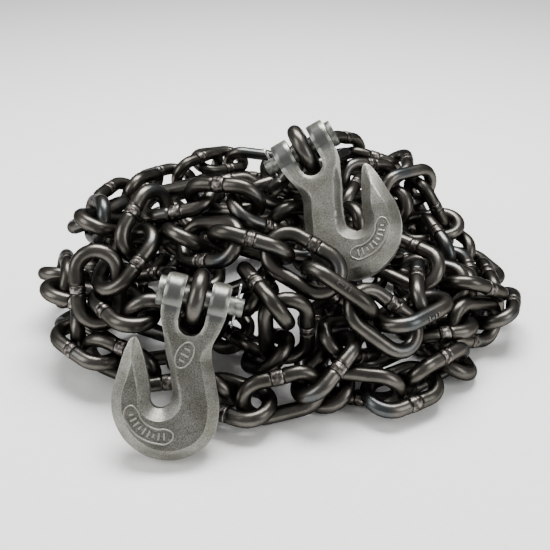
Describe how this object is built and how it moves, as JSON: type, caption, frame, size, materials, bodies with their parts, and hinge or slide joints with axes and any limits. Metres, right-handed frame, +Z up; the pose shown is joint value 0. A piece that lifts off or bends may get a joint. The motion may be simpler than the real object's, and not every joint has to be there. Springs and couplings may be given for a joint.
{
  "type": "load binder chain",
  "caption": "Heap of welded steel chain with a clevis grab hook pinned to each end, for tying down a load with a binder.",
  "frame": {"origin": "centre of the heap's footprint, on the floor", "axes": "+Z up, -Y towards the side where the front hook stands, +X to the right seen from there"},
  "size_m": [0.3316, 0.3486, 0.1477],
  "materials": {
    "chain_steel": "self-coloured drawn and welded carbon steel, lightly oiled, semi-gloss",
    "forged_steel": "drop-forged steel, shot-blasted, matt, with brighter worn edges",
    "pin_steel": "cold-headed steel, dull",
    "zinc_wire": "zinc-plated steel wire, bright"
  },
  "bodies": {
    "chain": {"chain_run_01": "chain_steel", "chain_run_02": "chain_steel", "chain_run_03": "chain_steel", "chain_run_04": "chain_steel", "chain_run_05": "chain_steel", "chain_run_06": "chain_steel", "chain_run_07": "chain_steel", "chain_run_08": "chain_steel", "chain_run_09": "chain_steel", "chain_run_10": "chain_steel", "chain_run_11": "chain_steel", "chain_run_12": "chain_steel", "chain_run_13": "chain_steel", "chain_run_14": "chain_steel", "chain_run_15": "chain_steel", "chain_run_16": "chain_steel", "chain_run_17": "chain_steel", "chain_run_18": "chain_steel", "chain_run_19": "chain_steel", "chain_run_20": "chain_steel", "chain_run_21": "chain_steel", "chain_run_22": "chain_steel", "chain_run_23": "chain_steel", "chain_run_24": "chain_steel", "chain_run_25": "chain_steel", "chain_run_26": "chain_steel", "chain_run_27": "chain_steel", "chain_run_28": "chain_steel", "chain_run_29": "chain_steel", "chain_run_30": "chain_steel", "chain_run_31": "chain_steel", "chain_run_32": "chain_steel", "chain_run_33": "chain_steel", "chain_run_34": "chain_steel", "chain_run_35": "chain_steel", "chain_run_36": "chain_steel", "chain_run_37": "chain_steel", "chain_run_38": "chain_steel", "chain_run_39": "chain_steel", "chain_run_40": "chain_steel", "chain_run_41": "chain_steel", "chain_run_42": "chain_steel", "chain_run_43": "chain_steel", "chain_run_44": "chain_steel"},
    "front_hook": {"front_hook": "forged_steel"},
    "front_clevis_pin": {"front_clevis_pin": "pin_steel", "front_cotter_pin": "zinc_wire"},
    "front_link_1": {"front_link_1": "chain_steel"},
    "front_link_2": {"front_link_2": "chain_steel"},
    "front_link_3": {"front_link_3": "chain_steel"},
    "front_link_4": {"front_link_4": "chain_steel"},
    "front_link_5": {"front_link_5": "chain_steel"},
    "rear_hook": {"rear_hook": "forged_steel"},
    "rear_clevis_pin": {"rear_clevis_pin": "pin_steel", "rear_cotter_pin": "zinc_wire"},
    "rear_link_1": {"rear_link_1": "chain_steel"},
    "rear_link_2": {"rear_link_2": "chain_steel"},
    "rear_link_3": {"rear_link_3": "chain_steel"},
    "rear_link_4": {"rear_link_4": "chain_steel"},
    "rear_link_5": {"rear_link_5": "chain_steel"}
  },
  "joints": [
    {"name": "front_hook_swing", "type": "hinge", "parent": "chain", "child": "front_hook", "pos_m": [-0.04621, -0.12112, 0.07873], "axis": [0.9723, -0.0628, -0.225], "range_deg": [-110, 0]},
    {"name": "front_pin_turn", "type": "hinge", "parent": "front_hook", "child": "front_clevis_pin", "pos_m": [-0.04621, -0.12112, 0.07873], "axis": [0.9723, -0.0628, -0.225], "continuous": true},
    {"name": "front_link_1_rock", "type": "hinge", "parent": "chain", "child": "front_link_1", "pos_m": [-0.04699, -0.11103, 0.07257], "axis": [-0.0652, 0.852, -0.5195], "range_deg": [-6, 6]},
    {"name": "front_link_2_rock", "type": "hinge", "parent": "chain", "child": "front_link_2", "pos_m": [-0.05345, -0.08282, 0.06055], "axis": [-0.5187, 0.849, -0.1002], "range_deg": [-3, 4]},
    {"name": "front_link_3_rock", "type": "hinge", "parent": "chain", "child": "front_link_3", "pos_m": [-0.06083, -0.05412, 0.04988], "axis": [-0.0768, 0.8995, -0.4301], "range_deg": [-2.5, 6]},
    {"name": "front_link_4_rock", "type": "hinge", "parent": "chain", "child": "front_link_4", "pos_m": [-0.0811, -0.04457, 0.03597], "axis": [-0.9781, 0.1116, -0.1756], "range_deg": [-1.5, 4]},
    {"name": "front_link_5_rock", "type": "hinge", "parent": "chain", "child": "front_link_5", "pos_m": [-0.10269, -0.05113, 0.03161], "axis": [-0.547, -0.5607, 0.6217], "range_deg": [-4, 4]},
    {"name": "rear_hook_swing", "type": "hinge", "parent": "chain", "child": "rear_hook", "pos_m": [0.01479, -0.02612, 0.129], "axis": [-0.8693, -0.1157, -0.4805], "range_deg": [0, 2.5]},
    {"name": "rear_pin_turn", "type": "hinge", "parent": "rear_hook", "child": "rear_clevis_pin", "pos_m": [0.01479, -0.02612, 0.129], "axis": [-0.8693, -0.1157, -0.4805], "continuous": true},
    {"name": "rear_link_1_rock", "type": "hinge", "parent": "chain", "child": "rear_link_1", "pos_m": [0.01604, -0.01539, 0.12414], "axis": [-0.1059, -0.906, 0.4097], "range_deg": [-6, 7]},
    {"name": "rear_link_2_rock", "type": "hinge", "parent": "chain", "child": "rear_link_2", "pos_m": [0.01119, 0.00176, 0.10771], "axis": [-0.6693, -0.2436, -0.7019], "range_deg": [-2, 2]},
    {"name": "rear_link_3_rock", "type": "hinge", "parent": "chain", "child": "rear_link_3", "pos_m": [0.00695, 0.0201, 0.09519], "axis": [-0.1438, -0.9532, 0.2661], "range_deg": [-3.5, 4.5]},
    {"name": "rear_link_4_rock", "type": "hinge", "parent": "chain", "child": "rear_link_4", "pos_m": [0.01785, 0.04453, 0.08772], "axis": [-0.5088, -0.7571, 0.4098], "range_deg": [-5, 5]},
    {"name": "rear_link_5_rock", "type": "hinge", "parent": "chain", "child": "rear_link_5", "pos_m": [0.03411, 0.0693, 0.08353], "axis": [-0.4402, -0.8837, 0.1592], "range_deg": [-5, 6]}
  ]
}
